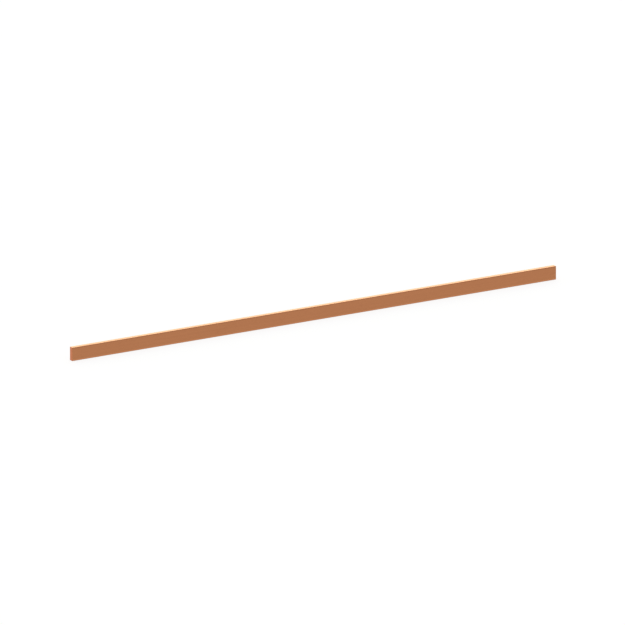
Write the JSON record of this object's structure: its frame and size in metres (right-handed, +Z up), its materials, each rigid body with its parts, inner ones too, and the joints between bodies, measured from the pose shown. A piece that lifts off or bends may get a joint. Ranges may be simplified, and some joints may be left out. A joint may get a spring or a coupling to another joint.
{
  "type": "copper busbar",
  "caption": "Plain drawn copper flat bar with softly rounded long corners and square sawn ends, standing on its narrow edge, for carrying current in switchgear.",
  "frame": {"origin": "middle of the lower narrow edge, bottom centre of the bounding box", "axes": "+X along the bar's length, +Y through its thickness from the front broad face to the rear one, +Z up across its width"},
  "size_m": [1.2, 0.01, 0.03],
  "materials": {
    "copper": null
  },
  "bodies": {
    "root": {"copper_busbar": "copper"}
  },
  "joints": []
}
